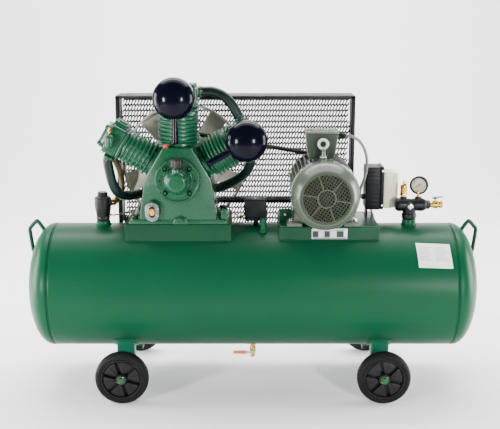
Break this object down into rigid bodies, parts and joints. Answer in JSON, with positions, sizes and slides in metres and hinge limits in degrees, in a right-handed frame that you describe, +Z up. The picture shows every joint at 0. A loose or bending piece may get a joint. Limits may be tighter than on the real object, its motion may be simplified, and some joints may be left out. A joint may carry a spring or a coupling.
{
  "type": "v-belt-driven air compressor",
  "caption": "Belt-driven piston compressor on a wheeled horizontal tank, with W-arranged finned cylinders, electric motor, V belts on a fan flywheel and a mesh guard.",
  "frame": {"origin": "on the floor, under the middle of the tank and midway between the front and rear wheels", "axes": "+X along the tank towards the air outlet, -Y the service side with the oil sight glass, +Z up"},
  "size_m": [1.7574, 0.624, 1.202],
  "materials": {
    "aluminium": "cast aluminium",
    "black_paint": "black powder coat",
    "black_plastic": "glossy blue-black moulding",
    "brass": "machined brass",
    "cable": "grey flexible conduit",
    "cast_black": "blackened casting",
    "copper": "brown metal tube",
    "cream": "cream moulded cover",
    "dark_grey": "dark blue-grey enclosure",
    "fan_grey": "grey painted casting",
    "green_paint": "gloss green machine paint",
    "hub_plastic": "black moulded nylon",
    "motor_grey": "grey-green machine paint",
    "needle": "black pointer",
    "orange": "orange plastic sleeve on a steel lever",
    "pipe_green": "dark green painted pipe",
    "rubber": "black rubber",
    "steel": "machined steel",
    "tyre": "black solid rubber tyre"
  },
  "bodies": {
    "compressor": {"air_filter_middle": "black_plastic", "air_filter_right": "black_plastic", "ball_valve": "brass", "bearing_cover": "green_paint", "breather_cap": "hub_plastic", "check_valve": "cast_black", "crankcase": "green_paint", "cylinder_left": "green_paint", "cylinder_middle": "green_paint", "cylinder_right": "green_paint", "discharge_pipe": "copper", "drain_valve": "brass", "fan_cowl": "motor_grey", "guard_frame": "black_paint", "guard_mesh": "black_paint", "handle_left": "green_paint", "handle_right": "green_paint", "head_left": "green_paint", "head_middle": "green_paint", "head_right": "green_paint", "intercooler_pipe_lower": "pipe_green", "intercooler_pipe_upper": "pipe_green", "leg_front_left": "green_paint", "leg_front_right": "green_paint", "leg_rear_left": "green_paint", "leg_rear_right": "green_paint", "motor_base": "green_paint", "motor_cable": "cable", "motor_frame": "motor_grey", "outlet_manifold": "cast_black", "pressure_gauge": "cast_black", "pressure_switch": "dark_grey", "pump_base": "green_paint", "safety_valve": "brass", "sight_glass": "steel", "starter_box": "dark_grey", "starter_cover": "cream", "tank": "green_paint", "terminal_box": "motor_grey", "v_belt_1": "rubber", "v_belt_2": "rubber", "v_belt_3": "rubber"},
    "wheel_front_left": {"tyre_front_left": "tyre", "wheel_hub_front_left": "hub_plastic"},
    "wheel_front_right": {"tyre_front_right": "tyre", "wheel_hub_front_right": "hub_plastic"},
    "wheel_rear_left": {"tyre_rear_left": "tyre", "wheel_hub_rear_left": "hub_plastic"},
    "wheel_rear_right": {"tyre_rear_right": "tyre", "wheel_hub_rear_right": "hub_plastic"},
    "crank": {"crankshaft": "steel", "flywheel": "fan_grey"},
    "motor_rotor": {"rotor_shaft": "steel", "motor_pulley": "cast_black"},
    "piston_left": {"piston_left": "aluminium"},
    "piston_middle": {"piston_middle": "aluminium"},
    "piston_right": {"piston_right": "aluminium"},
    "outlet_lever": {"ball_valve_lever": "black_paint"},
    "drain_lever": {"drain_lever": "orange"},
    "gauge_needle": {"gauge_needle": "needle"}
  },
  "joints": [
    {"name": "wheel_front_left_spin", "type": "hinge", "parent": "compressor", "child": "wheel_front_left", "pos_m": [-0.488, -0.271, 0.1], "axis": [0, 1, 0], "continuous": true},
    {"name": "wheel_front_right_spin", "type": "hinge", "parent": "compressor", "child": "wheel_front_right", "pos_m": [0.488, -0.271, 0.1], "axis": [0, 1, 0], "continuous": true},
    {"name": "wheel_rear_left_spin", "type": "hinge", "parent": "compressor", "child": "wheel_rear_left", "pos_m": [-0.488, 0.271, 0.1], "axis": [0, 1, 0], "continuous": true},
    {"name": "wheel_rear_right_spin", "type": "hinge", "parent": "compressor", "child": "wheel_rear_right", "pos_m": [0.488, 0.271, 0.1], "axis": [0, 1, 0], "continuous": true},
    {"name": "crank_spin", "type": "hinge", "parent": "compressor", "child": "crank", "pos_m": [-0.28, 0.16, 0.821], "axis": [0, 1, 0], "continuous": true},
    {"name": "motor_spin", "type": "hinge", "parent": "compressor", "child": "motor_rotor", "pos_m": [0.2645, 0, 0.777], "axis": [0, 1, 0], "continuous": true},
    {"name": "piston_left_slide", "type": "slide", "parent": "compressor", "child": "piston_left", "axis": [-0.866, 0, 0.5], "range_m": [-0.0143, 0.0557]},
    {"name": "piston_middle_slide", "type": "slide", "parent": "compressor", "child": "piston_middle", "axis": [0, 0, 1], "range_m": [0, 0.07]},
    {"name": "piston_right_slide", "type": "slide", "parent": "compressor", "child": "piston_right", "axis": [0.866, 0, 0.5], "range_m": [-0.0143, 0.0557]},
    {"name": "outlet_lever_turn", "type": "hinge", "parent": "compressor", "child": "outlet_lever", "pos_m": [0.707, 0, 0.7285], "axis": [0, 0, 1], "range_deg": [-90, 0]},
    {"name": "drain_lever_turn", "type": "hinge", "parent": "compressor", "child": "drain_lever", "pos_m": [0, -0.0235, 0.104], "axis": [0, 1, 0], "range_deg": [-90, 0]},
    {"name": "gauge_needle_turn", "type": "hinge", "parent": "compressor", "child": "gauge_needle", "pos_m": [0.641, 0, 0.7775], "axis": [-0.3746, -0.9272, 0], "range_deg": [-263, 0], "stiffness_Nm_per_rad": 0.002}
  ],
  "couplings": [
    {"joint": "motor_spin", "follows": "crank_spin", "ratio": 1.5135}
  ]
}
